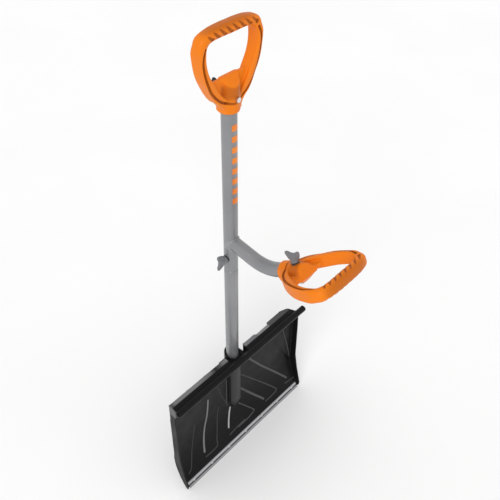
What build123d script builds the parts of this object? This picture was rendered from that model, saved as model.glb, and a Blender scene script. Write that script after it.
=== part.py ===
from build123d import *
import os
from math import atan2, cos, degrees, hypot, radians, sin

os.makedirs("parts", exist_ok=True)

# Snow shovel with a second, assisting handle. Millimetres, +Z up the shaft, +X along the
# blade's edge, -Y towards the scooping side. Heights are given above the blade's edge, and
# the row's origin is the underside of the top grip's bar, where the shovel hangs on a hook.

# Driving dimensions
TUBE_R = 31.75 / 2
TUBE_WALL = 1.5
FIT_GAP = 0.1
BLADE_WIDTH = 457.2
LIP_REACH = 53.0
BOW_DEPTH = 16.0
BAR_HEIGHT = 1157.5
BAR_R = 11.0
GRIP_LENGTH = 159.0
ARM_HEIGHT = 679.0
ARM_RISE_DEG = 27.0
ARM_BEND_REACH = 58.5
ARM_BEND_R = 100.0
ASSIST_MOUTH = (-150.5, 688.0)

HANG_HEIGHT = BAR_HEIGHT - BAR_R
HALF_WIDTH = BLADE_WIDTH / 2


def up(height):
    """Row Z of a height above the blade's edge."""
    return height - HANG_HEIGHT


def save(builder, name):
    """Labels a finished sub-part and writes its STEP file."""
    builder.part.label = name
    export_step(builder.part, f"parts/{name}.step")


# ---------------------------------------------------------------- blade
SKIN = 3.4
LIP_BOTTOM = 1.6
STRIP_TOP = 15.0
CURVE_TOP = 130.0
PAN_TOP = 275.0
FLARE_END = (-43.0, 312.0)
BEAD_CENTRE = (-45.5, 325.0)
BEAD_R = 8.5
BEAD_BORE = 5.5
DECK_TOP = 331.0
DECK_FRONT = (-46.0, 318.0)
DECK_CREST_Y = -21.0
# Rear edge of the deck, as (x, y) across the blade: a notch on the right and a clipped corner
DECK_REAR = (
    (-228.6, -13), (66, -13), (70, -17), (114, -16), (118, -10.5), (172, -9.5), (192, -16),
    (213, -41), (228.6, -41),
)
SOCKET_R = 21.0
SOCKET_FLOOR = 118.0
SOCKET_NOSE = 84.0
SOCKET_SEAT = 300.0
COLLAR_TOP = 316.0
RECESS = (-40.0, 24.0)
RIB_HEIGHT = 2.4
RIB_WIDTH = 5.0
PAN_HEIGHTS = (LIP_BOTTOM, STRIP_TOP, 32.0, 52.0, 78.0, 104.0, CURVE_TOP, 205.0, PAN_TOP)
PAN_STATIONS = [HALF_WIDTH * k / 3 for k in range(-3, 4)]
# Fan ribs on the scooping face, each from (x, height) to (x, height)
FAN_RIBS = (
    ((115, 220), (212, 86)),
    ((40, 243), (197, 44)),
    ((68, 143), (137, 52)),
    ((17, 151), (100, 40)),
    ((14, 84), (55, 36)),
    ((186, 243), (224, 60)),
    ((-24, 104), (-42, 44)),
    ((-54, 124), (-89, 40)),
    ((-86, 212), (-138, 42)),
    ((-152, 163), (-187, 44)),
    ((-60, 231), (-24, 120)),
)


def pan_y(x, height):
    """The scooping face: a lip that sweeps forward, and a back bowed away from the middle."""
    sweep = -LIP_REACH * max(0.0, 1 - height / CURVE_TOP) ** 2
    share = min(max((height - STRIP_TOP) / (CURVE_TOP - STRIP_TOP), 0.0), 1.0)
    return sweep - BOW_DEPTH * (x / HALF_WIDTH) ** 2 * share


def pan_outline(x, proud, depth):
    """Closed YZ outline from proud millimetres in front of the face to depth behind it."""
    face = [(pan_y(x, h), up(h)) for h in PAN_HEIGHTS] + [(FLARE_END[0], up(FLARE_END[1]))]
    front = [(y - proud, z) for y, z in face]
    back = [(y + depth, z) for y, z in face]
    return front + back[::-1]


def loft_pan(proud, depth):
    """Lofts the pan's outline through every station across the blade."""
    sections = []
    for x in PAN_STATIONS:
        with BuildSketch(Plane.YZ.offset(x)) as section:
            with BuildLine():
                Polyline(*pan_outline(x, proud, depth), close=True)
            make_face()
        sections.append(section.sketch.face())
    loft(sections, ruled=True)


def deck_rear(x):
    """Y of the deck's rear edge at x."""
    for (x0, y0), (x1, y1) in zip(DECK_REAR, DECK_REAR[1:]):
        if x <= x1:
            return y0 + (y1 - y0) * (x - x0) / (x1 - x0)
    return DECK_REAR[-1][1]


def web_plate(x, thickness):
    """Upright plate that ties the flared wall and the deck together."""
    root = pan_y(x, PAN_TOP)
    crest = min(DECK_CREST_Y, deck_rear(x) - 2)
    with BuildSketch(Plane.YZ.offset(x)) as web:
        with BuildLine():
            Polyline(
                (root + 1, up(PAN_TOP)),
                (FLARE_END[0] + 1, up(FLARE_END[1])),
                (DECK_FRONT[0] + 2, up(DECK_FRONT[1])),
                (crest, up(DECK_TOP - 1)),
                (deck_rear(x) - 1, up(DECK_TOP - 1)),
                (root + SKIN - 0.5, up(PAN_TOP + 4)),
                close=True,
            )
        make_face()
    extrude(web.sketch, amount=thickness)


def side_flange(x):
    """Side wall of the scoop, standing forward of the pan."""
    rear = [(pan_y(HALF_WIDTH, h) + SKIN - 0.4, up(h)) for h in PAN_HEIGHTS]
    front = [(-LIP_REACH - 2, up(14)), (-42.0, up(70)), (-33.0, up(124)), (-32.0, up(290))]
    with BuildSketch(Plane.YZ.offset(x)) as wall:
        with BuildLine():
            Polyline(*rear, (FLARE_END[0] + 2, up(FLARE_END[1])), *front[::-1],
                     (-LIP_REACH, up(LIP_BOTTOM)), close=True)
        make_face()
    extrude(wall.sketch, amount=SKIN)


STRIP_HALF = 220.0
STRIP_SHEET = 1.4
RIVET_R = 2.0
RIVET_HEAD_R = 3.6
RIVET_XS = [STRIP_HALF * k / 3.3 for k in range(-3, 4)]
LIP_LEAN = (pan_y(0, STRIP_TOP) - pan_y(0, LIP_BOTTOM)) / (STRIP_TOP - LIP_BOTTOM)
LIP_NORMAL = Vector(0, -1, LIP_LEAN).normalized()


def lip_y(height):
    """Straight front line of the lip, where the strip wraps it."""
    return pan_y(0, LIP_BOTTOM) + LIP_LEAN * (height - LIP_BOTTOM)


def rivet_plane(x):
    """Plane in the middle of the lip's thickness, square to it."""
    return Plane(origin=(x, lip_y(8) + SKIN / 2, up(8)), x_dir=(1, 0, 0), z_dir=LIP_NORMAL)


BLADE_SCREW_HEIGHT = 160.0
SCREW_R = 2.4
blade_screw_plane = Plane(origin=(0, 0, up(BLADE_SCREW_HEIGHT)), x_dir=(1, 0, 0), z_dir=(0, 1, 0))

with BuildPart() as fan_ribs:
    loft_pan(RIB_HEIGHT, SKIN / 2)
    with BuildSketch(Plane.XZ):
        for (x0, h0), (x1, h1) in FAN_RIBS:
            lean = degrees(atan2(h1 - h0, x1 - x0))
            with Locations(((x0 + x1) / 2, up((h0 + h1) / 2))):
                SlotCenterToCenter(hypot(x1 - x0, h1 - h0), RIB_WIDTH, rotation=lean)
    extrude(amount=3 * LIP_REACH, both=True, mode=Mode.INTERSECT)

# Top deck: it slopes up and back from the bead to a flat crest along its rear edge
with BuildPart() as deck:
    with BuildSketch(Plane.YZ.offset(-HALF_WIDTH)):
        with BuildLine():
            Polyline(
                (DECK_FRONT[0], up(DECK_FRONT[1])), (DECK_CREST_Y, up(DECK_TOP)),
                (0, up(DECK_TOP)), (0, up(DECK_TOP - SKIN)),
                (DECK_CREST_Y + 1, up(DECK_TOP - SKIN)),
                (DECK_FRONT[0], up(DECK_FRONT[1] - SKIN - 0.5)), close=True,
            )
        make_face()
    extrude(amount=BLADE_WIDTH)
    with BuildSketch(Plane.XY.offset(up(DECK_FRONT[1] - 10))):
        with BuildLine():
            Polyline((-HALF_WIDTH, DECK_FRONT[0]), *DECK_REAR, (HALF_WIDTH, DECK_FRONT[0]), close=True)
        make_face()
    extrude(amount=30, mode=Mode.INTERSECT)

with BuildPart() as blade:
    loft_pan(0, SKIN)
    add(fan_ribs.part)
    for flange_x in (-HALF_WIDTH, HALF_WIDTH - SKIN):
        side_flange(flange_x)
    add(deck.part)
    for plate_x in (-HALF_WIDTH, -171, -114, -60, 57, 119, 168):
        web_plate(plate_x, SKIN)
    # The rim's middle is sunk, so that the shaft drops into its socket
    with BuildSketch(Plane.XY.offset(up(SOCKET_SEAT))):
        with Locations((sum(RECESS) / 2, 0)):
            Rectangle(RECESS[1] - RECESS[0], 2 * 31)
    extrude(amount=60, mode=Mode.SUBTRACT)
    with BuildSketch(Plane.XY.offset(up(SOCKET_SEAT))):
        with Locations((sum(RECESS) / 2, -13)):
            Rectangle(RECESS[1] - RECESS[0] + 2 * SKIN, 40)
    extrude(amount=-SKIN)
    for wall_x in (RECESS[0] - SKIN, RECESS[1]):
        web_plate(wall_x, SKIN)
    with BuildSketch(Plane.YZ.offset(-HALF_WIDTH)):
        with Locations((BEAD_CENTRE[0], up(BEAD_CENTRE[1]))):
            Circle(BEAD_R)
    extrude(amount=BLADE_WIDTH)
    with BuildSketch(Plane.YZ.offset(-HALF_WIDTH)):
        with Locations((BEAD_CENTRE[0], up(BEAD_CENTRE[1]))):
            Circle(BEAD_BORE)
    extrude(amount=BLADE_WIDTH, mode=Mode.SUBTRACT)
    # Socket for the shaft: a tapered nose, a barrel and a collar cut on a slant
    with BuildSketch(Plane.YZ):
        with BuildLine():
            Polyline(
                (0, up(SOCKET_NOSE)), (6, up(SOCKET_NOSE)), (SOCKET_R, up(SOCKET_FLOOR + 8)),
                (SOCKET_R, up(COLLAR_TOP)), (0, up(COLLAR_TOP)), close=True,
            )
        make_face()
    revolve(axis=Axis.Z)
    with BuildSketch(Plane.YZ):
        with BuildLine():
            Polyline(
                (-SOCKET_R - 1, up(SOCKET_SEAT + 1)), (SOCKET_R + 1, up(COLLAR_TOP)),
                (SOCKET_R + 1, up(COLLAR_TOP + 5)), (-SOCKET_R - 1, up(COLLAR_TOP + 5)), close=True,
            )
        make_face()
    extrude(amount=SOCKET_R + 1, both=True, mode=Mode.SUBTRACT)
    with BuildSketch(Plane.XY.offset(up(SOCKET_FLOOR))):
        Circle(TUBE_R + FIT_GAP)
    extrude(amount=COLLAR_TOP, mode=Mode.SUBTRACT)
    with BuildSketch(blade_screw_plane):
        Circle(SCREW_R + FIT_GAP)
    extrude(amount=2 * SOCKET_R, mode=Mode.SUBTRACT)
    for rivet_x in RIVET_XS:
        with BuildSketch(rivet_plane(rivet_x)):
            Circle(RIVET_R + FIT_GAP)
        extrude(amount=2 * SKIN, both=True, mode=Mode.SUBTRACT)
save(blade, "blade")

# ---------------------------------------------------------------- wear strip and its rivets
with BuildPart() as wear_strip:
    with BuildSketch(Plane.YZ.offset(-STRIP_HALF)):
        with BuildLine():
            Polyline(
                (lip_y(STRIP_TOP - 1) - STRIP_SHEET, up(STRIP_TOP - 1)),
                (lip_y(0) - STRIP_SHEET, up(0)),
                (lip_y(0) + SKIN + STRIP_SHEET, up(0)),
                (lip_y(STRIP_TOP - 1) + SKIN + STRIP_SHEET, up(STRIP_TOP - 1)),
                (lip_y(STRIP_TOP - 1) + SKIN + FIT_GAP, up(STRIP_TOP - 1)),
                (lip_y(LIP_BOTTOM) + SKIN + FIT_GAP, up(LIP_BOTTOM - FIT_GAP)),
                (lip_y(LIP_BOTTOM) - FIT_GAP, up(LIP_BOTTOM - FIT_GAP)),
                (lip_y(STRIP_TOP - 1) - FIT_GAP, up(STRIP_TOP - 1)),
                close=True,
            )
        make_face()
    extrude(amount=2 * STRIP_HALF)
    for rivet_x in RIVET_XS:
        with BuildSketch(rivet_plane(rivet_x)):
            Circle(RIVET_R + FIT_GAP)
        extrude(amount=2 * SKIN, both=True, mode=Mode.SUBTRACT)
save(wear_strip, "wear_strip")

with BuildPart() as strip_rivets:
    sheet_face = (SKIN / 2 + STRIP_SHEET) * LIP_NORMAL.dot(Vector(0, -1, 0)) + 0.02
    for rivet_x in RIVET_XS:
        with BuildSketch(rivet_plane(rivet_x)):
            Circle(RIVET_R)
        extrude(amount=sheet_face + 0.5, both=True)
        for face_side in (-1, 1):
            with BuildSketch(rivet_plane(rivet_x).offset(face_side * sheet_face)):
                Circle(RIVET_HEAD_R)
            extrude(amount=face_side * 0.9, taper=25)
save(strip_rivets, "strip_rivets")

# ---------------------------------------------------------------- shaft
SEAM_HEIGHT = 602.0
SPIGOT_TOP = 662.0
SHAFT_BOLT_HEIGHT = 638.0
TOP_BOLT_REACH = 29.0
ARM_BOLT_REACH = 40.0
BOLT_R = 3.0
BOLT_HOLE_R = 3.15
INNER_R = TUBE_R - TUBE_WALL
TOP_MOUTH_HEIGHT = BAR_HEIGHT - GRIP_LENGTH
TUBE_REACH = 49.0
SHAFT_TOP = TOP_MOUTH_HEIGHT + TUBE_REACH

shaft_bolt_plane = Plane(origin=(0, 0, up(SHAFT_BOLT_HEIGHT)), x_dir=(0, 0, 1), z_dir=(-1, 0, 0))
top_bolt_plane = Plane(
    origin=(0, 0, up(TOP_MOUTH_HEIGHT + TOP_BOLT_REACH)), x_dir=(0.45, 0, 1), z_dir=(0, 1, 0)
)

with BuildPart() as lower_shaft:
    with BuildSketch(Plane.XZ):
        with BuildLine():
            Polyline(
                (TUBE_R, up(SOCKET_FLOOR + 0.2)), (TUBE_R, up(SEAM_HEIGHT - 3)),
                (INNER_R - FIT_GAP, up(SEAM_HEIGHT - 0.3)), (INNER_R - FIT_GAP, up(SPIGOT_TOP)),
                (INNER_R - TUBE_WALL, up(SPIGOT_TOP)), (INNER_R - TUBE_WALL, up(SEAM_HEIGHT - 3)),
                (INNER_R, up(SEAM_HEIGHT - 7)), (INNER_R, up(SOCKET_FLOOR + 0.2)), close=True,
            )
        make_face()
    revolve(axis=Axis.Z)
    with BuildSketch(shaft_bolt_plane):
        Circle(BOLT_HOLE_R)
    extrude(amount=2 * TUBE_R, both=True, mode=Mode.SUBTRACT)
    with BuildSketch(blade_screw_plane):
        Circle(SCREW_R + FIT_GAP)
    extrude(amount=2 * TUBE_R, mode=Mode.SUBTRACT)
save(lower_shaft, "lower_shaft")

with BuildPart() as upper_shaft:
    with BuildSketch(Plane.XY.offset(up(SEAM_HEIGHT))):
        Circle(TUBE_R)
        Circle(INNER_R, mode=Mode.SUBTRACT)
    extrude(amount=SHAFT_TOP - SEAM_HEIGHT)
    for bolt_plane in (shaft_bolt_plane, top_bolt_plane):
        with BuildSketch(bolt_plane):
            Circle(BOLT_HOLE_R)
        extrude(amount=2 * TUBE_R, both=True, mode=Mode.SUBTRACT)
save(upper_shaft, "upper_shaft")

with BuildPart() as blade_screw:
    with BuildSketch(blade_screw_plane.offset(10)):
        Circle(SCREW_R)
    extrude(amount=SOCKET_R + 0.1 - 10)
    with BuildSketch(blade_screw_plane.offset(SOCKET_R + 0.1)):
        Circle(5.0)
    extrude(amount=3.2, taper=20)
save(blade_screw, "blade_screw")

# ---------------------------------------------------------------- assist arm
rise = radians(ARM_RISE_DEG)
ARM_DIR = Vector(0, -cos(rise), sin(rise))
ARM_BACK = Vector(0, sin(rise), cos(rise))
assist_mouth = Vector(0, ASSIST_MOUTH[0], up(ASSIST_MOUTH[1]))
arm_end = assist_mouth + ARM_DIR * TUBE_REACH
assist_bolt_plane = Plane(
    origin=assist_mouth + ARM_DIR * ARM_BOLT_REACH, x_dir=ARM_DIR, z_dir=ARM_BACK
)
arm_start = Vector(0, -5, up(ARM_HEIGHT))
arm_bend = assist_mouth - ARM_DIR * ARM_BEND_REACH
arm_start_plane = Plane(origin=arm_start, x_dir=(1, 0, 0), z_dir=arm_bend - arm_start)

with BuildPart() as assist_arm:
    with BuildLine() as arm_path:
        FilletPolyline(arm_start, arm_bend, arm_end, radius=ARM_BEND_R)
    with BuildSketch(arm_start_plane):
        Circle(TUBE_R)
        Circle(INNER_R, mode=Mode.SUBTRACT)
    sweep(path=arm_path.wires()[0])
    with BuildSketch(Plane.XY.offset(up(ARM_HEIGHT))):
        Circle(TUBE_R + 0.05)
    extrude(amount=2 * TUBE_R, both=True, mode=Mode.SUBTRACT)
    with BuildSketch(assist_bolt_plane):
        Circle(BOLT_HOLE_R)
    extrude(amount=2 * TUBE_R, both=True, mode=Mode.SUBTRACT)
save(assist_arm, "assist_arm")

WELD_SIZE = 3.0
with BuildPart() as arm_weld:
    with BuildSketch(arm_start_plane.offset(-5)):
        Circle(TUBE_R + WELD_SIZE)
        Circle(TUBE_R + 0.05, mode=Mode.SUBTRACT)
    extrude(amount=2 * TUBE_R)
    with BuildSketch(Plane.XY.offset(up(ARM_HEIGHT))):
        Circle(TUBE_R + WELD_SIZE)
    extrude(amount=2 * TUBE_R, both=True, mode=Mode.INTERSECT)
    with BuildSketch(Plane.XY.offset(up(ARM_HEIGHT))):
        Circle(TUBE_R + 0.05)
    extrude(amount=2 * TUBE_R, both=True, mode=Mode.SUBTRACT)
save(arm_weld, "arm_weld")

# ---------------------------------------------------------------- D-grips
# In a grip's own plane X runs along the bar, Y from the socket's mouth towards the bar.
GRIP_HALF_DEPTH = 14.0
GRIP_SOCKET_R = 21.0
GRIP_BORE_DEPTH = 50.0
GRIP_BARREL = 44.0
GRIP_OUTER = (
    (21, 7), (42.5, 32), (58, 57), (72, 87), (77.8, 117), (78.3, 144), (69, 161), (45, 168), (0, 170),
)
HAND_TOP = GRIP_LENGTH - BAR_R
HAND_BOTTOM = 70.0
HAND_HALF = 64.5
WEB_HALF_DEPTH = 4.0
RIM_ROUNDING = 4.5


def make_grip(face, bolt_plane, bore_r):
    """A moulded D-grip: a deep rim with the bar across its top, a thin web and a socket."""
    along = Plane(origin=face.origin, x_dir=face.x_dir, z_dir=face.y_dir)
    with BuildPart() as grip:
        with BuildSketch(face):
            with BuildLine():
                half = Spline(*GRIP_OUTER, tangents=[(0.5, 1), (-1, 0)])
                mirror(half, about=Plane.YZ)
                Line((-GRIP_OUTER[0][0], GRIP_OUTER[0][1]), GRIP_OUTER[0])
            make_face()
            with BuildSketch(mode=Mode.SUBTRACT):
                with BuildLine():
                    Polyline((-17, 30), (17, 30), (32, 48), (46, HAND_BOTTOM), (58, 92), (HAND_HALF, 116),
                             (HAND_HALF, HAND_TOP), (-HAND_HALF, HAND_TOP), (-HAND_HALF, 116),
                             (-58, 92), (-46, HAND_BOTTOM), (-32, 48), close=True)
                hand_face = make_face()
                fillet(hand_face.vertices().group_by(Axis.Y)[-1], 13)
        extrude(amount=GRIP_HALF_DEPTH, both=True)
        faces_out = grip.faces().filter_by(Axis(face.origin, face.z_dir))
        fillet(faces_out.edges(), RIM_ROUNDING)
        with BuildSketch(face) as web:
            with BuildLine():
                Polyline((-18, 26), (18, 26), (33, 48), (47, HAND_BOTTOM), (-47, HAND_BOTTOM),
                         (-33, 48), close=True)
            make_face()
        extrude(amount=WEB_HALF_DEPTH, both=True)
        with BuildSketch(along):
            Circle(GRIP_SOCKET_R)
        extrude(amount=GRIP_BARREL)
        with Locations(along.offset(GRIP_BARREL)):
            Sphere(GRIP_SOCKET_R)
        with BuildSketch(along):
            Circle(bore_r)
        extrude(amount=GRIP_BORE_DEPTH, mode=Mode.SUBTRACT)
        with BuildSketch(bolt_plane):
            Circle(BOLT_HOLE_R)
        extrude(amount=2 * GRIP_SOCKET_R, both=True, mode=Mode.SUBTRACT)
    return grip


top_face = Plane(origin=(0, 0, up(TOP_MOUTH_HEIGHT)), x_dir=(1, 0, 0), z_dir=(0, -1, 0))
assist_face = Plane(origin=assist_mouth, x_dir=(1, 0, 0), z_dir=-ARM_BACK)
top_grip = make_grip(top_face, top_bolt_plane, TUBE_R + FIT_GAP)
save(top_grip, "top_grip")
assist_grip = make_grip(assist_face, assist_bolt_plane, TUBE_R + FIT_GAP)
save(assist_grip, "assist_grip")

# ---------------------------------------------------------------- clamping bolts and wing knobs
HEAD_R = 5.6
HEAD_HEIGHT = 4.8
WASHER_R = 8.5
WASHER_STAND = 2.6
KNOB_GAP = 0.4
KNOB_R = 8.0
KNOB_HEIGHT = 15.0
INSERT_R = 4.6
INSERT_LENGTH = 10.0
INSERT_BORE_R = BOLT_R + 0.05
WING_HALF_THICKNESS = 3.2
WING_OUTLINE = ((0, 2.5), (8, 2.5), (14, 6.5), (19.5, 16), (19, 23), (12, 23.5), (6, 20.8), (0, 20))


def make_clamp(name, bolt_plane, seat_r, tube_dir):
    """Bolt, saddle washer, wing knob and its brass insert, on a tube or socket of seat_r."""
    knob_base = seat_r + WASHER_STAND + KNOB_GAP
    with BuildPart() as bolt:
        with BuildSketch(bolt_plane.offset(-seat_r - 0.1)):
            Circle(BOLT_R)
        extrude(amount=seat_r + 0.1 + knob_base + INSERT_LENGTH)
        with BuildSketch(bolt_plane.offset(-seat_r - 0.1)):
            RegularPolygon(HEAD_R, 6)
        extrude(amount=-HEAD_HEIGHT)
    save(bolt, f"{name}_bolt")

    with BuildPart() as washer:
        with BuildSketch(bolt_plane.offset(seat_r + WASHER_STAND)):
            Circle(WASHER_R)
            Circle(BOLT_HOLE_R, mode=Mode.SUBTRACT)
        extrude(amount=-WASHER_STAND - 3)
        saddle = Plane(origin=bolt_plane.origin, x_dir=bolt_plane.z_dir, z_dir=tube_dir)
        with BuildSketch(saddle):
            Circle(seat_r + 0.05)
        extrude(amount=2 * WASHER_R, both=True, mode=Mode.SUBTRACT)
    save(washer, f"{name}_washer")

    with BuildPart() as knob:
        base = bolt_plane.offset(knob_base)
        with BuildSketch(base):
            Circle(KNOB_R)
        extrude(amount=KNOB_HEIGHT, taper=6)
        wing_plane = Plane(origin=base.origin, x_dir=base.x_dir, z_dir=-base.y_dir)
        with BuildSketch(wing_plane) as wings:
            with BuildLine():
                side = Polyline(*WING_OUTLINE)
                mirror(side, about=Plane.YZ)
            make_face()
            fillet(wings.vertices(), 1.2)
        extrude(amount=WING_HALF_THICKNESS, both=True)
        with BuildSketch(base):
            Circle(INSERT_R)
        extrude(amount=INSERT_LENGTH + 1, mode=Mode.SUBTRACT)
    save(knob, f"{name}_wing_knob")

    with BuildPart() as insert:
        with BuildSketch(bolt_plane.offset(knob_base + 0.2)):
            Circle(INSERT_R)
            Circle(INSERT_BORE_R, mode=Mode.SUBTRACT)
        extrude(amount=INSERT_LENGTH)
    save(insert, f"{name}_knob_insert")


make_clamp("shaft", shaft_bolt_plane, TUBE_R, Vector(0, 0, 1))
make_clamp("top_grip", top_bolt_plane, GRIP_SOCKET_R, Vector(0, 0, 1))
make_clamp("assist_grip", assist_bolt_plane, GRIP_SOCKET_R, ARM_DIR)

# ---------------------------------------------------------------- coloured bars on the shaft
MARK_COUNT = 8
MARK_LENGTH = 13.0
MARK_BOTTOM = 790.0
MARK_TOP = 973.0
MARK_HALF_ANGLE = 28.0
MARK_SHEET = 0.25
mark_pitch = (MARK_TOP - MARK_BOTTOM - MARK_LENGTH) / (MARK_COUNT - 1)
wedge_x = 2 * TUBE_R * sin(radians(MARK_HALF_ANGLE))
wedge_y = -2 * TUBE_R * cos(radians(MARK_HALF_ANGLE))

with BuildPart() as shaft_marks:
    for mark in range(MARK_COUNT):
        with BuildSketch(Plane.XY.offset(up(MARK_BOTTOM + mark * mark_pitch))):
            Circle(TUBE_R + MARK_SHEET)
            Circle(TUBE_R + 0.02, mode=Mode.SUBTRACT)
            with BuildLine(mode=Mode.PRIVATE) as wedge:
                Polyline((0, 0), (wedge_x, wedge_y), (-wedge_x, wedge_y), close=True)
            make_face(wedge.line, mode=Mode.INTERSECT)
        extrude(amount=MARK_LENGTH)
save(shaft_marks, "shaft_marks")
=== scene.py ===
import math

import bpy
import numpy as np
from mathutils import Matrix, Vector


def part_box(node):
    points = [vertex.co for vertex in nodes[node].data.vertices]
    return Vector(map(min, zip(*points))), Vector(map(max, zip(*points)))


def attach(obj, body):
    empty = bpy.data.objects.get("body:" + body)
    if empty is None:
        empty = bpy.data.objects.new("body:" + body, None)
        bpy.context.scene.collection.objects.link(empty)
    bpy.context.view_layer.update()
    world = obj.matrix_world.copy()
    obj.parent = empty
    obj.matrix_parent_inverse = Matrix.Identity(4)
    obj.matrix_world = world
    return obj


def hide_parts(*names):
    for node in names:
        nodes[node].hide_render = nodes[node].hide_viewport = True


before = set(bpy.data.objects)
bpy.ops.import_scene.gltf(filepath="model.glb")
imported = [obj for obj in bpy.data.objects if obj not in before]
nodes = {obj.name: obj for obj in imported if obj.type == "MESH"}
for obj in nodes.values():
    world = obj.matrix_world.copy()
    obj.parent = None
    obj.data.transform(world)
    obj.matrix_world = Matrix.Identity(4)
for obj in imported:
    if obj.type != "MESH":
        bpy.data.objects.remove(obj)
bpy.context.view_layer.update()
SHOVEL = "shovel"
MM = 0.001

# Shapes that Blender adds are worked out in millimetres, with heights above the blade's edge.
HANG_HEIGHT = -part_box("wear_strip")[0].z / MM
TUBE_R = (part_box("upper_shaft")[1].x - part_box("upper_shaft")[0].x) / MM / 2
HALF_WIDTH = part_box("blade")[1].x / MM
TUBE_GAP = 0.1


# ------------------------------------------------------------------ meshes from distance fields

def smooth_min(a, b, radius):
    """Union of two distance fields with a fillet of about that radius."""
    h = np.clip(0.5 + 0.5 * (b - a) / radius, 0, 1)
    return b + (a - b) * h - radius * h * (1 - h)


def smooth_max(a, b, radius):
    """Intersection of two distance fields with a rounded edge."""
    return -smooth_min(-a, -b, radius)


def smoothstep(value, start, end):
    t = np.clip((value - start) / (end - start), 0, 1)
    return t * t * (3 - 2 * t)


def rounded(a, b, radius):
    """Intersection of two fields whose shared edge is an arc of that radius."""
    outside = np.hypot(np.maximum(a + radius, 0), np.maximum(b + radius, 0))
    return outside + np.minimum(np.maximum(a, b) + radius, 0) - radius


def segment_distance(px, py, ax, ay, bx, by):
    """Distance in a plane from points to a segment."""
    dx, dy = bx - ax, by - ay
    t = np.clip(((px - ax) * dx + (py - ay) * dy) / max(dx * dx + dy * dy, 1e-9), 0, 1)
    return np.hypot(px - ax - t * dx, py - ay - t * dy)


def path_distance(px, py, points):
    """Distance in a plane from points to a chain of segments."""
    best = np.full(px.shape, 1e6, np.float32)
    for (ax, ay), (bx, by) in zip(points, points[1:]):
        best = np.minimum(best, segment_distance(px, py, ax, ay, bx, by))
    return best


def polygon_distance(px, py, points):
    """Signed distance to a closed outline, negative inside."""
    ring = list(points) + [points[0]]
    inside = np.zeros(px.shape, bool)
    for (ax, ay), (bx, by) in zip(ring, ring[1:]):
        crosses = (ay > py) != (by > py)
        rise = by - ay if abs(by - ay) > 1e-9 else 1e-9
        inside ^= crosses & (px < (bx - ax) * (py - ay) / rise + ax)
    return np.where(inside, -1, 1) * path_distance(px, py, ring)


def curve_points(points, per_span=8):
    """A smooth Catmull-Rom chain through points."""
    p = [points[0], *points, points[-1]]
    chain = []
    for a, b, c, d in zip(p, p[1:], p[2:], p[3:]):
        for t in np.linspace(0, 1, per_span, endpoint=False):
            chain.append(tuple(
                0.5 * (2 * b[k] + (c[k] - a[k]) * t + (2 * a[k] - 5 * b[k] + 4 * c[k] - d[k]) * t * t
                       + (3 * b[k] - a[k] - 3 * c[k] + d[k]) * t ** 3)
                for k in (0, 1)
            ))
    return chain + [tuple(points[-1])]


def field_mesh(field, low, high, step):
    """Surface nets over a distance field: vertices in millimetres and quads as arrays."""
    axes = [np.arange(a - 2 * step, b + 3 * step, step, dtype=np.float32) for a, b in zip(low, high)]
    value = field(*np.meshgrid(*axes, indexing="ij", sparse=True)).astype(np.float32)
    value = np.broadcast_to(value, [len(a) for a in axes])
    inside = value < 0
    size = [n - 1 for n in value.shape]

    def corner(array, c):
        return array[c[0]:c[0] + size[0], c[1]:c[1] + size[1], c[2]:c[2] + size[2]]

    corners = [(i, j, k) for i in (0, 1) for j in (0, 1) for k in (0, 1)]
    count = sum(corner(inside, c).astype(np.int8) for c in corners)
    cells = np.argwhere((count > 0) & (count < 8))
    at = tuple(cells.T)
    total = np.zeros((len(cells), 3))
    crossings = np.zeros(len(cells))
    for c in corners:
        for axis in range(3):
            if c[axis]:
                continue
            d = tuple(1 if n == axis else v for n, v in enumerate(c))
            fa, fb = corner(value, c)[at], corner(value, d)[at]
            cut = (fa < 0) != (fb < 0)
            point = np.tile(np.array(c, float), (len(cells), 1))
            point[:, axis] = np.where(cut, fa / np.where(cut, fa - fb, 1), 0)
            total += point * cut[:, None]
            crossings += cut
    vertices = (cells + total / crossings[:, None]) * step + [a[0] for a in axes]
    index = np.full(size, -1, np.int64)
    index[at] = np.arange(len(cells))
    quads = []
    for axis in range(3):
        u, v = (axis + 1) % 3, (axis + 2) % 3
        here = [slice(1, -1)] * 3
        here[axis] = slice(0, -1)
        there = list(here)
        there[axis] = slice(1, None)
        a, b = inside[tuple(here)], inside[tuple(there)]
        edge = np.argwhere(a != b)
        leaving = a[tuple(edge.T)]
        edge[:, u] += 1
        edge[:, v] += 1
        ring = []
        for du, dv in ((1, 1), (0, 1), (0, 0), (1, 0)):
            cell = edge.copy()
            cell[:, u] -= du
            cell[:, v] -= dv
            ring.append(index[tuple(cell.T)])
        ring = np.stack(ring, 1)
        ring[~leaving] = ring[~leaving][:, ::-1]
        quads.append(ring)
    return vertices, np.concatenate(quads)


def add_mesh(name, vertices, quads):
    """A smooth-shaded object from arrays in metres."""
    mesh = bpy.data.meshes.new(name)
    mesh.vertices.add(len(vertices))
    mesh.vertices.foreach_set("co", np.asarray(vertices, np.float32).ravel())
    mesh.loops.add(quads.size)
    mesh.loops.foreach_set("vertex_index", quads.astype(np.int32).ravel())
    mesh.polygons.add(len(quads))
    mesh.polygons.foreach_set("loop_start", np.arange(0, quads.size, 4, dtype=np.int32))
    mesh.polygons.foreach_set("use_smooth", np.ones(len(quads), bool))
    mesh.update(calc_edges=True)
    mesh.validate()
    piece = bpy.data.objects.new(name, mesh)
    bpy.context.scene.collection.objects.link(piece)
    return piece


def placed(vertices, origin, axes):
    """Millimetres along a piece's own three axes to metres in the row frame."""
    turn = np.array([list(axis) for axis in axes])
    return (vertices @ turn + list(origin) - [0, 0, HANG_HEIGHT]) * MM


def stand_for(piece, node, body):
    """piece takes a CAD node's place and body."""
    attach(piece, body)
    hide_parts(node)


# ------------------------------------------------------------------ materials

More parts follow.
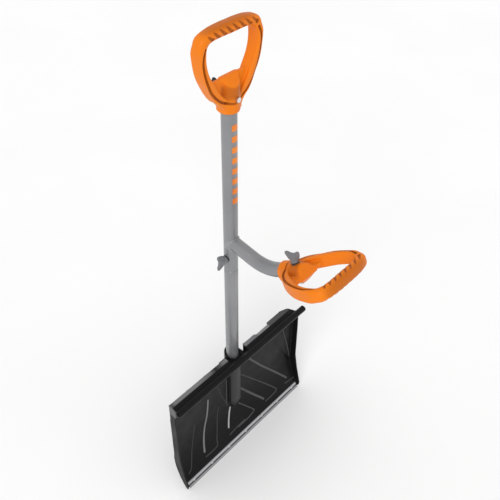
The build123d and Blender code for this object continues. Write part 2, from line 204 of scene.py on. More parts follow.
class Nodes:
    """Short names for building one material's node tree."""

    def __init__(self, name):
        self.material = bpy.data.materials.new(name)
        self.material.use_nodes = True
        self.tree = self.material.node_tree
        self.shader = self.tree.nodes["Principled BSDF"]
        self.place = self.add("ShaderNodeTexCoord").outputs["Object"]

    def add(self, kind, **settings):
        node = self.tree.nodes.new(kind)
        for key, value in settings.items():
            setattr(node, key, value)
        return node

    def link(self, output, target):
        self.tree.links.new(output, target)

    def noise(self, scale, detail=3.0, stretch=(1, 1, 1)):
        """Noise at a scale per metre, stretched along the axes."""
        mapping = self.add("ShaderNodeMapping")
        mapping.inputs["Scale"].default_value = stretch
        self.link(self.place, mapping.inputs["Vector"])
        noise = self.add("ShaderNodeTexNoise")
        noise.inputs["Scale"].default_value = scale
        noise.inputs["Detail"].default_value = detail
        self.link(mapping.outputs["Vector"], noise.inputs["Vector"])
        return noise.outputs["Fac"]

    def ramp(self, factor, stops):
        """Colour ramp from (position, colour) stops."""
        ramp = self.add("ShaderNodeValToRGB")
        elements = ramp.color_ramp.elements
        elements[0].position, elements[0].color = stops[0][0], (*stops[0][1], 1)
        elements[1].position, elements[1].color = stops[-1][0], (*stops[-1][1], 1)
        for position, colour in stops[1:-1]:
            elements.new(position).color = (*colour, 1)
        self.link(factor, ramp.inputs["Fac"])
        return ramp.outputs["Color"]

    def mix(self, factor, a, b):
        """Colour mix; a and b are colours or outputs, factor a number or an output."""
        mix = self.add("ShaderNodeMix", data_type="RGBA")
        for key, value in ((0, factor), (6, a), (7, b)):
            if isinstance(value, bpy.types.NodeSocket):
                self.link(value, mix.inputs[key])
            elif isinstance(value, tuple):
                mix.inputs[key].default_value = (*value, 1)
            else:
                mix.inputs[key].default_value = value
        return mix.outputs[2]

    def span(self, value, low, high, start=0.0, end=1.0):
        """Maps a value from start..end to low..high."""
        node = self.add("ShaderNodeMapRange")
        for key, number in (("From Min", start), ("From Max", end), ("To Min", low), ("To Max", high)):
            node.inputs[key].default_value = number
        self.link(value, node.inputs["Value"])
        return node.outputs["Result"]

    def bump(self, height, strength, distance, under=None):
        """Bump from a height, on top of an earlier bump."""
        node = self.add("ShaderNodeBump")
        node.inputs["Strength"].default_value = strength
        node.inputs["Distance"].default_value = distance
        self.link(height, node.inputs["Height"])
        if under is not None:
            self.link(under, node.inputs["Normal"])
        return node.outputs["Normal"]

    def convex_edges(self):
        """High on convex edges, from the mesh's pointiness."""
        pointiness = self.add("ShaderNodeNewGeometry").outputs["Pointiness"]
        return self.span(pointiness, 0.0, 1.0, 0.51, 0.56)

    def finish(self, colour, roughness, normal, **scalars):
        """Links the looks to the shader, and sets its plain numbers on its own sockets."""
        self.link(colour, self.shader.inputs["Base Color"])
        self.link(roughness, self.shader.inputs["Roughness"])
        self.link(normal, self.shader.inputs["Normal"])
        for key, number in scalars.items():
            self.shader.inputs[key.replace("_", " ")].default_value = number
        return self.material


def moulded_plastic(name, base, light, rough, grain=900.0, grain_depth=0.00006, edge_colour=None,
                    gloss_and_painted_highlight=0.35, shade_colour=None):
    """Injection-moulded plastic: spark texture, lighter convex edges, and painted shade mixed in by a
    point attribute when a dark colour is given.
    """
    n = Nodes(name)
    colour = n.ramp(n.noise(9.0, 4.0, (1, 1, 0.5)), [(0.3, base), (0.75, light)])
    # Lighter towards convex edges
    colour = n.mix(n.span(n.convex_edges(), 0.0, 0.35), colour, edge_colour or light)
    # Painted shade: mixed towards the dark colour by a per-point attribute, when one is given
    if shade_colour:
        painted_shade = n.add("ShaderNodeAttribute", attribute_name="painted_shade").outputs["Fac"]
        colour = n.mix(painted_shade, colour, shade_colour)
    normal = n.bump(n.noise(grain, 2.0), 0.25, grain_depth)
    normal = n.bump(n.noise(60.0, 2.0), 0.06, 0.0003, normal)
    roughness = n.span(n.noise(30.0, 4.0), rough - 0.05, rough + 0.07, 0.3, 0.7)
    return n.finish(colour, roughness, normal, Specular_IOR_Level=gloss_and_painted_highlight)


# The painted-highlight attribute's value at the brightest painted ridge highlight
BRIGHTEST_PAINTED_HIGHLIGHT = 2.6


def scoop_plastic(name):
    """Black polypropylene with fine scratches, painted lighter grey as a highlight where a point attribute
    is high.
    """
    n = Nodes(name)
    colour = n.ramp(n.noise(7.0, 4.0), [(0.3, (0.0045, 0.0045, 0.005)), (0.75, (0.009, 0.0085, 0.0095))])
    scratch = n.span(n.noise(90.0, 5.0, (0.25, 1, 1.6)), 0.0, 0.5, 0.64, 0.8)
    colour = n.mix(scratch, colour, (0.045, 0.045, 0.047))
    # Painted highlights: lighter grey on ridge crests, rim, deck crest, barrel and left end
    painted_highlight = n.add("ShaderNodeAttribute", attribute_name="painted_highlight").outputs["Fac"]
    highlight_grey = n.ramp(n.span(painted_highlight, 0.0, 1.0, 0.0, BRIGHTEST_PAINTED_HIGHLIGHT),
                    [(0.0, (0.015, 0.015, 0.016)), (0.385, (0.085, 0.085, 0.088)),
                     (1.0, (0.42, 0.42, 0.43))])
    colour = n.mix(n.span(painted_highlight, 0.0, 1.0, 0.0, 0.6), colour, highlight_grey)
    normal = n.bump(n.noise(800.0, 2.0), 0.22, 0.00008)
    normal = n.bump(n.noise(45.0, 3.0), 0.08, 0.0004, normal)
    roughness = n.span(n.noise(25.0, 4.0), 0.33, 0.47, 0.3, 0.7)
    return n.finish(colour, roughness, normal, Specular_IOR_Level=0.13)


def painted_tube(name, base, light):
    """Powder-coated steel tube: orange peel, faint lengthwise draw marks and small scuffs."""
    n = Nodes(name)
    colour = n.ramp(n.noise(7.0, 3.0), [(0.3, base), (0.75, light)])
    scuff = n.span(n.noise(160.0, 6.0, (1, 1, 0.12)), 0.0, 0.5, 0.66, 0.78)
    colour = n.mix(scuff, colour, tuple(1.6 * c for c in light))
    normal = n.bump(n.noise(700.0, 2.0), 0.22, 0.0001)
    normal = n.bump(n.noise(220.0, 2.0, (1, 1, 0.02)), 0.12, 0.00012, normal)
    roughness = n.span(n.noise(40.0, 4.0), 0.3, 0.42, 0.3, 0.7)
    return n.finish(colour, roughness, normal, Metallic=0.35, Coat_Weight=0.15, Coat_Roughness=0.3)


def bare_metal(name, base, light, rough):
    """Turned metal: fine tool marks and dull patches."""
    n = Nodes(name)
    lines = n.noise(500.0, 4.0)
    colour = n.ramp(lines, [(0.3, base), (0.7, light)])
    patches = n.span(n.noise(35.0, 5.0), rough - 0.06, rough + 0.16, 0.3, 0.75)
    normal = n.bump(lines, 0.25, 0.00008)
    return n.finish(colour, patches, normal, Metallic=1.0)


# Height over which the strip's colour bands run, from the ground
STRIP_HEIGHT = 14.0


def folded_strip(name):
    """Folded steel edge, brushed lengthwise: a painted highlight band with painted groove shade below it.
    """
    n = Nodes(name)
    height = n.add("ShaderNodeSeparateXYZ")
    n.link(n.place, height.inputs["Vector"])
    ground = -HANG_HEIGHT * MM
    # By height: grey band, painted groove shade, painted highlight along the fold, and darker again at the
    # top
    shade_and_highlight_bands = n.ramp(n.span(height.outputs["Z"], 0.0, 1.0, ground, ground + STRIP_HEIGHT * MM),
                  [(0.0, (0.3, 0.3, 0.31)), (0.3, (0.34, 0.34, 0.35)), (0.36, (0.05, 0.05, 0.055)),
                   (0.56, (0.06, 0.06, 0.065)), (0.62, (0.5, 0.5, 0.51)), (0.88, (0.46, 0.46, 0.47)),
                   (1.0, (0.12, 0.12, 0.125))])
    lines = n.noise(500.0, 4.0, (0.02, 1, 1))
    worn = n.span(n.noise(60.0, 5.0, (0.3, 1, 1)), 0.0, 0.45, 0.55, 0.75)
    colour = n.mix(worn, shade_and_highlight_bands, (0.3, 0.3, 0.31))
    roughness = n.span(n.noise(40.0, 5.0), 0.28, 0.5, 0.3, 0.75)
    return n.finish(colour, roughness, n.bump(lines, 0.25, 0.00008), Metallic=0.55)


BLACK = scoop_plastic("blade_plastic")
# Grip orange: the brighter orange is for convex edges, the dark one is the shade painted in creases and on
# the bar's top
ORANGE = moulded_plastic("grip_plastic", (0.78, 0.185, 0.004), (0.84, 0.215, 0.006), 0.4, 1200.0, 0.00004,
                         (0.95, 0.3, 0.03), 0.18, (0.17, 0.035, 0.004))
KNOB_GREY = moulded_plastic("knob_grey", (0.15, 0.155, 0.165), (0.2, 0.2, 0.21), 0.45)
KNOB_DARK = moulded_plastic("knob_dark", (0.012, 0.014, 0.017), (0.02, 0.022, 0.026), 0.42)
WASHER = moulded_plastic("washer_plastic", (0.03, 0.03, 0.032), (0.045, 0.045, 0.047), 0.5)
SHAFT = painted_tube("shaft_paint", (0.225, 0.228, 0.24), (0.27, 0.272, 0.284))
WELD = painted_tube("weld_paint", (0.24, 0.243, 0.255), (0.34, 0.342, 0.354))
MARKS = painted_tube("mark_paint", (0.8, 0.2, 0.012), (0.9, 0.27, 0.025))
STRIP = folded_strip("strip_metal")
RIVETS = bare_metal("rivet_metal", (0.5, 0.5, 0.51), (0.72, 0.72, 0.73), 0.3)
BOLTS = bare_metal("bolt_metal", (0.62, 0.63, 0.65), (0.8, 0.8, 0.82), 0.2)
BRASS = bare_metal("insert_brass", (0.5, 0.34, 0.12), (0.7, 0.5, 0.2), 0.3)


def paint(piece, material):
    """Gives a whole piece or CAD node one material."""
    piece.data.materials.clear()
    piece.data.materials.append(material)


# ------------------------------------------------------------------ D-grips

# Half outlines in the grip's own plane: x along the bar, y from the socket's mouth to the bar
GRIP_OUTER = (
    (21, 4), (21.5, 11), (30, 22), (42.5, 33), (57.5, 56), (71.5, 87), (77.3, 117), (78, 142),
    (70, 159.3), (46, 167.3), (20, 169.6), (0, 169.6),
)
GRIP_HAND = ((0, 148), (38, 148), (55, 144.5), (63, 135), (64.3, 122), (62.5, 107), (57, 90), (46, 70.5))
GRIP_UNDER = ((46, 70.5), (33, 49), (20, 35), (8, 30), (0, 29))
GROOVE = (
    (66, 142), (71.5, 128), (72.3, 113), (67.5, 89), (56, 60), (43, 42), (30, 31), (16, 24), (3, 21),
)
GRIP_HALF, GRIP_TOP, GRIP_DEPTH = 79, 170, 14.0
# Edge rounding of the legs, what the bar has beyond it, and the heights the change spans
RIM_ROUNDING, BAR_ROUNDING, BAR_BLEND = 4.0, 6.5, (130, 150)
WEB_TOP, WEB_HALF = 70.5, 4.0
SOCKET_R, SOCKET_BORE, MOUTH_BEVEL, DOME_RISE = 21.0, 50, 1.2, 4
CHANNEL_HALF, CHANNEL_DEPTH, SOCKET_CHANNEL = 2.1, 4.5, 1.4
# Finger notches: each slit's two ends and radius, and its pit, measured from the notch's middle
NOTCHES, NOTCH_PITCH, NOTCH_SHIFT = 8, 15.6, -3
NOTCH_FROM, NOTCH_TO, NOTCH_R, NOTCH_SPREAD = (-4.5, 166.8, 11.6), (3.5, 157.5, 14.4), 1.3, 1.6
PIT, PIT_R = (8.5, 153.0, 13.0), 3.8
# Strength of the shade painted into the notches, channels, the bar's palm side and the socket's corners
NOTCH_SHADE, CHANNEL_SHADE, PALM_SHADE, CORNER_SHADE = 0.8, 0.65, 0.42, 0.5
TOP_MOUTH = (0, 0, 998.5)
ASSIST_MOUTH = (0, -150.5, 688.0)
ARM_RISE = math.radians(27.0)
ARM_ALONG = (0, -math.cos(ARM_RISE), math.sin(ARM_RISE))
ARM_BACK = (0, math.sin(ARM_RISE), math.cos(ARM_RISE))


def both_sides(half):
    """A half outline and its mirror image, as one closed ring."""
    return list(half) + [(-x, y) for x, y in reversed(half)]


def notch_distance(x, y, face):
    """Distance to the finger notches: slanted slits along the bar, with a pit beside each."""
    nearest = 1e6
    for k in range(NOTCHES):
        middle = (k - (NOTCHES - 1) / 2) * NOTCH_PITCH + NOTCH_SHIFT
        a = np.array((middle + NOTCH_FROM[0], *NOTCH_FROM[1:]))
        b = np.array((middle + NOTCH_TO[0], *NOTCH_TO[1:]))
        span = b - a
        t = (x - a[0]) * span[0] + (y - a[1]) * span[1] + (face - a[2]) * span[2]
        t = np.clip(t / (span @ span), 0, 1)
        across = np.hypot(x - a[0] - t * span[0], y - a[1] - t * span[1])
        slit = np.hypot(across, face - a[2] - t * span[2]) - (NOTCH_R + NOTCH_SPREAD * t)
        pit = np.sqrt((x - middle - PIT[0]) ** 2 + (y - PIT[1]) ** 2 + (face - PIT[2]) ** 2) - PIT_R
        nearest = np.minimum(nearest, np.minimum(slit, pit))
    return nearest


def grip_field(x, y, z):
    """D-grip: x along the bar, y from the socket's mouth to the bar, z out of the front."""
    px, py = x[:, :, 0], y[:, :, 0]
    px, py = np.broadcast_arrays(px, py)
    outer = polygon_distance(px, py, both_sides(curve_points(GRIP_OUTER)))
    under = curve_points(GRIP_UNDER)
    hand = curve_points(GRIP_HAND)
    hole = polygon_distance(px, py, both_sides(hand))
    hollow = polygon_distance(px, py, both_sides(hand + under[1:]))
    rim = np.maximum(outer, -hollow)[:, :, None]
    rounding = RIM_ROUNDING + BAR_ROUNDING * smoothstep(py, *BAR_BLEND)[:, :, None]
    depth = np.abs(z) - GRIP_DEPTH
    body = rounded(rim, depth, rounding)
    web = np.maximum(np.maximum(outer + 4, py - WEB_TOP), -hole + 0.5)[:, :, None]
    body = smooth_min(body, rounded(web, np.abs(z) - WEB_HALF, 1.5), 3.0)
    radius = np.hypot(x, z)
    # Socket: a barrel whose top slopes back on both sides to meet the web's edge
    slope = (y + np.abs(z) - WEB_TOP - DOME_RISE) * 0.71
    barrel = smooth_max(radius - SOCKET_R, slope, 4.0)
    barrel = smooth_max(barrel, (radius - SOCKET_R + MOUTH_BEVEL - y) * 0.7, 0.8)
    barrel = np.maximum(barrel, np.maximum(-y, y - WEB_TOP))
    body = smooth_min(body, barrel, 6.0)
    body = np.maximum(body, -y)
    # Channel along the front and back of both legs, running down onto the socket
    groove = path_distance(np.abs(px), py, curve_points(GROOVE))[:, :, None]
    on_socket = np.where(radius < SOCKET_R + 1, radius - SOCKET_R + SOCKET_CHANNEL, depth + CHANNEL_DEPTH)
    near_socket = smoothstep(-py, -44, -24)[:, :, None]
    floor = depth + CHANNEL_DEPTH + near_socket * (on_socket - depth - CHANNEL_DEPTH)
    channel = np.maximum(groove - CHANNEL_HALF, -floor)
    body = smooth_max(body, -channel, 1.2)
    body = smooth_max(body, -notch_distance(x, y, np.abs(z)), 0.8)
    bore = np.maximum(radius - TUBE_R - TUBE_GAP, y - SOCKET_BORE)
    return np.maximum(body, -bore)


def grip_shade(vertices):
    """0 to 1 where shade is painted: notches, channels, the bar's palm side and the socket's corners."""
    x, y, z = vertices.T
    notch = 1 - smoothstep(notch_distance(x, y, np.abs(z)), -0.4, 0.9)
    away = path_distance(np.abs(x), y, curve_points(GROOVE))
    channel = 1 - smoothstep(away, 1.6, 3.2)
    palm = smoothstep(y, 158, 169) * (1 - smoothstep(np.abs(x), 55, 75))
    corner = 1 - smoothstep(np.abs(np.hypot(x, z) - SOCKET_R - 1.5), 1.0, 3.5)
    corner = corner * smoothstep(y, 24, 36) * (1 - smoothstep(y, 50, 66))
    layers = (NOTCH_SHADE * notch, CHANNEL_SHADE * channel, PALM_SHADE * palm, CORNER_SHADE * corner)
    return np.max(layers, axis=0)


def build_grips():
    step = 0.9
    low, high = (-GRIP_HALF, 0, -SOCKET_R), (GRIP_HALF, GRIP_TOP, SOCKET_R)
    vertices, quads = field_mesh(grip_field, low, high, step)
    # Painted shade per vertex, carried to the material as a point attribute
    painted_shade = grip_shade(vertices).astype(np.float32)
    front = tuple(-c for c in ARM_BACK)
    for node, mouth, axes in (
        ("top_grip", TOP_MOUTH, ((1, 0, 0), (0, 0, 1), (0, -1, 0))),
        ("assist_grip", ASSIST_MOUTH, ((1, 0, 0), ARM_ALONG, front)),
    ):
        piece = add_mesh(node + "_moulding", placed(vertices, mouth, axes), quads)
        piece.data.attributes.new("painted_shade", "FLOAT", "POINT").data.foreach_set("value", painted_shade)
        stand_for(piece, node, SHOVEL)
        paint(piece, ORANGE)


# ------------------------------------------------------------------ wing knobs

WING = ((0, 3), (8, 3), (14, 7), (19, 16.5), (18.6, 22.6), (12, 23), (6, 20.3), (0, 19.5))
KNOB_HUB_R, KNOB_FOOT_R, KNOB_HUB_TOP = 8.4, 9.2, 15.5
KNOB_BORE_R, KNOB_BORE_DEPTH = 4.6, 11.0
WING_HALF, WING_TAPER = 3.3, 0.9
KNOB_BOX = ((-20.5, -9.5, 0), (20.5, 9.5, 23.7))
KNOB_STAND = 3.0
TOP_BOLT_REACH = 29.0
ARM_BOLT_REACH = 40.0
SHAFT_BOLT = (0, 0, 638.0)
TOP_KNOB_SPAN = (0.45, 0, 1)


def knob_field(x, y, z):
    """Wing knob: x along its wings, z outwards from its base."""
    px, pz = np.broadcast_arrays(x[:, 0, :], z[:, 0, :])
    petals = polygon_distance(px, pz, both_sides(curve_points(WING, 5)))[:, None, :]
    thick = WING_HALF - WING_TAPER * smoothstep(np.abs(x), 6, 20)
    wings = rounded(petals + 0.3, np.abs(y) - thick, 1.6)
    radius = np.hypot(x, y)
    hub = rounded(radius - KNOB_HUB_R + 0.12 * z, z - KNOB_HUB_TOP, 2.0)
    foot = np.maximum(radius - KNOB_FOOT_R, z - 2.2)
    body = smooth_min(smooth_min(hub, wings, 2.5), foot, 1.0)
    body = np.maximum(body, -z)
    return np.maximum(body, -np.maximum(radius - KNOB_BORE_R, z - KNOB_BORE_DEPTH))


def build_knobs():
    step = 0.55
    vertices, quads = field_mesh(knob_field, *KNOB_BOX, step)
    top_bolt = Vector(TOP_MOUTH) + TOP_BOLT_REACH * Vector((0, 0, 1))
    arm_bolt = Vector(ASSIST_MOUTH) + ARM_BOLT_REACH * Vector(ARM_ALONG)
    for clamp, bolt, seat, span, out, finish, slot in (
        ("shaft", Vector(SHAFT_BOLT), TUBE_R, (0, 0, 1), (-1, 0, 0), KNOB_GREY, "knob_plastic"),
        ("top_grip", top_bolt, SOCKET_R, TOP_KNOB_SPAN, (0, 1, 0), KNOB_DARK, "knob_plastic_dark"),
        ("assist_grip", arm_bolt, SOCKET_R, ARM_ALONG, ARM_BACK, KNOB_GREY, "knob_plastic"),
    ):
        out = Vector(out)
        span = Vector(span).normalized()
        base = bolt + (seat + KNOB_STAND) * out
        axes = (span, out.cross(span), out)
        piece = add_mesh(clamp + "_knob_moulding", placed(vertices, base, axes), quads)
        stand_for(piece, clamp + "_wing_knob", clamp + "_knob")
        paint(piece, finish)


# ------------------------------------------------------------------ blade

LIP_REACH, BOW_DEPTH, CURVE_TOP, STRIP_TOP, LIP_BOTTOM = 53.0, 16.0, 130.0, 15.0, 1.6
PAN_TOP, SKIN = 275.0, 3.4
FLARE_END = (-43.0, 312.0)
BEAD_CENTRE, BEAD_R, BEAD_BORE = (-45.5, 325.0), 8.3, 5.5
DECK_TOP, DECK_FRONT, DECK_CREST_Y = 331.0, (-46.0, 318.0), -21.0
DECK_REAR_X = (-228.6, 66, 70, 114, 118, 172, 192, 213, 228.6)
DECK_REAR_Y = (-13, -13, -17, -16, -10.5, -9.5, -16, -41, -41)
COLLAR_R, SOCKET_FLOOR, SOCKET_NOSE, SOCKET_SEAT, COLLAR_TOP = 20.8, 118.0, 86.0, 300.0, 315.0
RECESS, RECESS_REACH, SEAT_REAR = (-40.0, 24.0), 31, 7
WEBS = (-HALF_WIDTH + SKIN / 2, -169, -112, -58, 59, 121, 170)
# Front edge of the side flanges, as heights and y
FLANGE_HEIGHTS, FLANGE_FRONT = (LIP_BOTTOM, 14, 70, 124, 290), (-53, -55, -42, -33, -32)
# Slot down the left of the barrel
SLOT_AT, SLOT_R, SLOT_MIDDLE, SLOT_HALF = (-20.5, -7.5), 2.6, 172, 58
# Ridges moulded in the face: half width, height, strength of the highlight painted on the crest, and the
# (x, height) points they run through
RIDGES = (
    (3.6, 2.4, 1.5, ((-96, 207), (-105, 141), (-138, 44))),
    (3.0, 2.4, 2.6, ((-17, 96), (-42, 47))),
    (1.8, 1.5, 0.5, ((-62, 235), (-41, 164), (-25, 112))),
    (1.8, 1.6, 0.6, ((-57, 137), (-75, 74), (-90, 44), (-95, 32), (-113, 29), (-140, 30))),
    (1.8, 1.6, 0.6, ((-151, 165), (-161, 107), (-188, 42), (-205, 29))),
    (1.8, 1.6, 0.6, ((13, 32), (-22, 31), (-48, 29))),
    (1.8, 2.0, 0.8, ((-25, 221), (-26, 113))),
    (1.8, 1.8, 0.7, ((188, 245), (206, 179), (221, 110))),
    (3.6, 2.4, 1.0, ((40, 262), (116, 149), (197, 43))),
    (1.8, 1.6, 0.7, ((23, 200), (91, 110), (144, 45), (148, 33), (125, 30), (101, 30))),
    (3.6, 2.4, 1.0, ((17, 150), (61, 86), (97, 40))),
    (1.8, 1.6, 0.8, ((14, 86), (49, 42), (53, 33), (28, 29), (-14, 29))),
    (1.8, 1.6, 0.6, ((222, 27), (208, 28), (185, 31))),
)
VALLEY = ((146, 241), (188, 160), (222, 98))
# Strength of the highlight painted along the deck's crest, along x
CREST_HIGHLIGHT = ((-228, -215, -140, -95, -80, -55, -40, 26, 70, 74, 112, 118, 180, 215),
                 (0.6, 1.4, 1.5, 1.2, 0.3, 1.3, 1.5, 1.5, 1.3, 1.7, 1.6, 0.9, 0.8, 0.3))


def blade_face(x, z):
    """Y of the scooping face without its ribs."""
    share = np.clip((z - STRIP_TOP) / (CURVE_TOP - STRIP_TOP), 0, 1)
    face = -LIP_REACH * np.maximum(0, 1 - z / CURVE_TOP) ** 2 - BOW_DEPTH * (x / HALF_WIDTH) ** 2 * share
    flare = np.clip((z - PAN_TOP) / (FLARE_END[1] - PAN_TOP), 0, 1)
    return face + (FLARE_END[0] - face) * flare


def ridge_relief(x, z):
    """How far the face's ridges stand proud, and how strong the highlight painted on their crests is."""
    proud = np.zeros(x.shape)
    painted_highlight = np.zeros(x.shape)
    for half, height, gloss_and_painted_highlight, points in RIDGES:
        away = path_distance(x, z, curve_points(points))
        crest = 1 - smoothstep(away, 0.35 * half, 1.25 * half)
        proud = np.maximum(proud, height * crest)
        painted_highlight = np.maximum(painted_highlight, gloss_and_painted_highlight * (1 - smoothstep(away, 0.55 * half, 1.2 * half)))
    dip = 1 - smoothstep(path_distance(x, z, VALLEY), 0.5, 4.0)
    return proud - 1.2 * dip, painted_highlight


def deck_fields(x, y, z):
    """The sloped deck along the top of the scoop, and the space behind the flare that webs cross."""
    rear = np.interp(x[:, 0, 0], DECK_REAR_X, DECK_REAR_Y)[:, None, None]
    crest = np.minimum(DECK_CREST_Y, rear - 2)
    run = DECK_CREST_Y - DECK_FRONT[0]
    pitch = (DECK_TOP - DECK_FRONT[1]) / run
    top = DECK_FRONT[1] + np.clip(y - DECK_FRONT[0], 0, run) * pitch
    deck = np.maximum(np.abs(z - top + SKIN / 2) - SKIN / 2, np.maximum(y - rear, DECK_FRONT[0] - y))
    under = np.maximum(z - top + 1, y - np.maximum(rear, crest) + 0.5)
    return deck, under


def blade_field(x, y, z):
    """The whole moulded scoop as one distance field."""
    px, pz = np.broadcast_arrays(x[:, 0, :], z[:, 0, :])
    face = blade_face(px, pz)[:, None, :]
    slope = np.gradient(face[:, 0, :], float(z[0, 0, 1] - z[0, 0, 0]), axis=1)[:, None, :]
    flat = 1 / np.sqrt(1 + slope ** 2)
    front = face - y - ridge_relief(px, pz)[0][:, None, :]
    skin = np.maximum(front, y - face - SKIN) * flat
    edge = np.abs(x) - HALF_WIDTH
    skin = np.maximum(np.maximum(skin, edge), np.maximum(LIP_BOTTOM - z, z - FLARE_END[1] - 2))
    # Side flanges stand forward of the pan
    rim_y = np.interp(z[0, 0], FLANGE_HEIGHTS, FLANGE_FRONT)[None, None, :]
    flange = np.maximum(np.maximum(edge, -edge - SKIN), np.maximum(rim_y - y, y - face - SKIN))
    flange = np.maximum(flange, np.maximum(LIP_BOTTOM - z, z - FLARE_END[1]))
    body = smooth_min(skin, flange, 2.5)
    # Rolled bead along the top, and the deck behind it
    ring = np.hypot(y - BEAD_CENTRE[0], z - BEAD_CENTRE[1])
    bead = np.maximum(ring - BEAD_R, edge)
    deck, under = deck_fields(x, y, z)
    body = smooth_min(body, smooth_min(bead, np.maximum(deck, edge), 6.0), 2.5)
    # Webs close the left end and stiffen the rim behind
    wedge = np.maximum(np.maximum(face + 1 - y, under), PAN_TOP - z)
    wedge = np.maximum(wedge, (y - face - SKIN) - (z - PAN_TOP) * 1.05)
    for centre in WEBS:
        body = smooth_min(body, np.maximum(wedge, np.abs(x - centre) - SKIN / 2), 1.5)
    # Sunken seat round the shaft
    middle, half = (RECESS[0] + RECESS[1]) / 2, (RECESS[1] - RECESS[0]) / 2
    sunk = np.maximum(np.maximum(np.abs(x - middle) - half, SOCKET_SEAT - z), np.abs(y) - RECESS_REACH)
    body = smooth_max(body, -sunk, 2.0)
    seat = np.maximum(np.abs(x - middle) - half - SKIN, np.abs(z - SOCKET_SEAT + SKIN / 2) - SKIN / 2)
    body = smooth_min(body, np.maximum(seat, np.maximum(face + 1 - y, y - SEAT_REAR)), 2.0)
    walls = np.maximum(np.abs(np.abs(x - middle) - half - SKIN / 2) - SKIN / 2, wedge)
    body = smooth_min(body, walls, 2.0)
    # Socket: barrel with a slot down its left, nose and slanted collar
    radius = np.hypot(x, y)
    nose = COLLAR_R - np.maximum(0, SOCKET_FLOOR + 8 - z) * 0.36
    slant = SOCKET_SEAT + 1 + (COLLAR_TOP - SOCKET_SEAT) * (y + COLLAR_R) / (2 * COLLAR_R)
    barrel = np.maximum((radius - nose) * 0.94, np.maximum(SOCKET_NOSE - z, z - slant))
    slot = np.hypot(x - SLOT_AT[0], y - SLOT_AT[1]) - SLOT_R
    slot = np.maximum(slot, np.abs(z - SLOT_MIDDLE) - SLOT_HALF)
    barrel = smooth_max(barrel, -slot, 1.0)
    body = smooth_min(body, barrel, 3.0)
    body = np.maximum(body, -np.maximum(radius - TUBE_R - TUBE_GAP, SOCKET_FLOOR - z))
    body = np.maximum(body, -np.maximum(ring - BEAD_BORE, np.abs(x) - HALF_WIDTH - 9))
    inside_cad = np.maximum(edge + 0.05, np.maximum(LIP_BOTTOM - z, -LIP_REACH - 1.9 - y))
    return np.maximum(body, inside_cad)


def blade_highlights(vertices):
    """Painted highlights on the moulding: ridge crests, rim, deck crest, barrel and left end. 0 is none.
    """
    x, y, z = vertices.T
    behind = y - blade_face(x, z)
    on_face = smoothstep(behind, -6.0, -4.0) * smoothstep(-behind, -1.6, -0.6) * smoothstep(-z, -276, -270)
    crests = ridge_relief(x, z)[1] * on_face
    angle = np.degrees(np.arctan2(z - BEAD_CENTRE[1], y - BEAD_CENTRE[0])) % 360
    outer = smoothstep(np.hypot(y - BEAD_CENTRE[0], z - BEAD_CENTRE[1]), BEAD_R - 1.5, BEAD_R - 0.7)
    rim = outer * (1 - smoothstep(np.abs(angle - 208), 7, 13)) * (z > 300)
    patches = np.interp(x, CREST_HIGHLIGHT[0], CREST_HIGHLIGHT[1])
    crest = patches * smoothstep(z, DECK_TOP - 2.6, DECK_TOP - 1.4)
    crest = crest * smoothstep(y, DECK_CREST_Y - 5, DECK_CREST_Y - 2)
    barrel = 0.5 * smoothstep(-np.hypot(x, y), -COLLAR_R - 1.5, -COLLAR_R) * smoothstep(-y, 3, 12)
    barrel = barrel * smoothstep(z, 88, 100) * (z < 290)
    left_end = 1.2 * (x < -HALF_WIDTH + 2.5) * smoothstep(z, 294, 306) * smoothstep(y, -40, -34)
    return np.max([crests, 0.7 * rim, crest, barrel, left_end], axis=0)


def build_blade():
    step = 1.2
    low, high = (-HALF_WIDTH, -55, 0), (HALF_WIDTH, 21, 334)
    vertices, quads = field_mesh(blade_field, low, high, step)
    piece = add_mesh("blade_moulding", placed(vertices, (0, 0, 0), np.eye(3)), quads)
    # Painted highlights per vertex, carried to the material as a point attribute
    painted_highlight = piece.data.attributes.new("painted_highlight", "FLOAT", "POINT")
    painted_highlight.data.foreach_set("value", blade_highlights(vertices).astype(np.float32))
    stand_for(piece, "blade", SHOVEL)
    paint(piece, BLACK)


# ------------------------------------------------------------------ CAD nodes that stay

def dress_cad():
    finishes = {
        "wear_strip": STRIP, "strip_rivets": RIVETS, "blade_screw": BOLTS, "arm_weld": WELD,
        "lower_shaft": SHAFT, "upper_shaft": SHAFT, "assist_arm": SHAFT, "shaft_marks": MARKS,
    }
    for clamp in ("shaft", "top_grip", "assist_grip"):
        finishes[clamp + "_bolt"] = BOLTS
        finishes[clamp + "_washer"] = WASHER
        finishes[clamp + "_knob_insert"] = BRASS
    for node, material in finishes.items():
        paint(nodes[node], material)


# ------------------------------------------------------------------ studio

# Camera: degrees, millimetres of lens, and its place in metres
AZIMUTH, ELEVATION, ROLL = -48.3, 41.55, -0.64
LENS = 48.27
CAMERA_PLACE = (-0.78993, -0.75963, 1.62414 - HANG_HEIGHT * MM)
# Light: even white all round, and a soft sun some degrees across
SKY_STRENGTH, SUN_STRENGTH, SUN_FROM, SUN_ANGLE = 0.8, 1.15, (-1.0, -0.55, 0.85), 35
FLOOR_REACH = 12.0


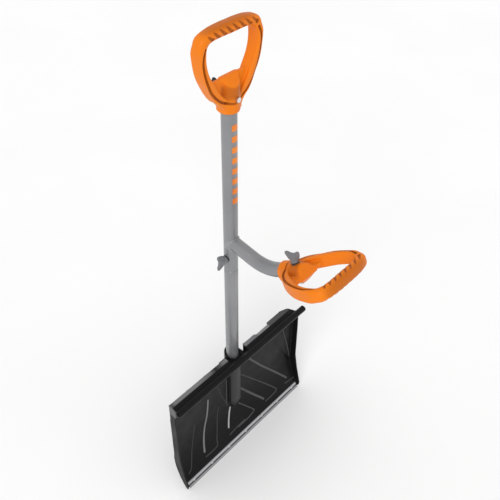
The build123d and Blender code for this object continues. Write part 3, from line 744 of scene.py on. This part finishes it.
def add_camera():
    turn, lift, roll = (math.radians(a) for a in (AZIMUTH, ELEVATION, ROLL))
    back = Vector((math.sin(turn) * math.cos(lift), -math.cos(turn) * math.cos(lift), math.sin(lift)))
    right = (-back).cross(Vector((0, 0, 1))).normalized()
    down = -(right.cross(-back))
    right, down = (math.cos(roll) * right + math.sin(roll) * down,
                   math.cos(roll) * down - math.sin(roll) * right)
    camera = bpy.data.objects.new("photo_camera", bpy.data.cameras.new("photo_camera"))
    camera.data.lens = LENS
    camera.data.sensor_width = 36.0
    camera.data.clip_end = 100.0
    turned = Matrix((right, -down, back)).transposed().to_4x4()
    camera.matrix_world = Matrix.Translation(CAMERA_PLACE) @ turned
    bpy.context.scene.collection.objects.link(camera)
    bpy.context.scene.camera = camera


def build_studio():
    ground = -HANG_HEIGHT * MM
    corners = np.array([(x * FLOOR_REACH, y * FLOOR_REACH, ground)
                        for x, y in ((-1, -1), (1, -1), (1, 1), (-1, 1))])
    floor = add_mesh("floor", corners, np.array([[0, 1, 2, 3]]))
    n = Nodes("floor_paint")
    colour = n.ramp(n.noise(2.0, 2.0), [(0.3, (0.96, 0.96, 0.96)), (0.7, (0.98, 0.98, 0.98))])
    n.finish(colour, n.span(n.noise(20.0), 0.8, 0.9), n.bump(n.noise(200.0), 0.02, 0.0002))
    paint(floor, n.material)
    world = bpy.data.worlds.new("studio")
    world.use_nodes = True
    world.node_tree.nodes["Background"].inputs["Color"].default_value = (1, 1, 1, 1)
    world.node_tree.nodes["Background"].inputs["Strength"].default_value = SKY_STRENGTH
    bpy.context.scene.world = world
    bpy.context.scene.view_settings.view_transform = "Standard"
    sun = bpy.data.lights.new("sun", "SUN")
    sun.energy = SUN_STRENGTH
    sun.angle = math.radians(SUN_ANGLE)
    lamp = bpy.data.objects.new("sun", sun)
    lamp.matrix_world = Vector(SUN_FROM).to_track_quat("Z", "Y").to_matrix().to_4x4()
    bpy.context.scene.collection.objects.link(lamp)


build_grips()
build_knobs()
build_blade()
dress_cad()
build_studio()
add_camera()

bpy.context.view_layer.update()
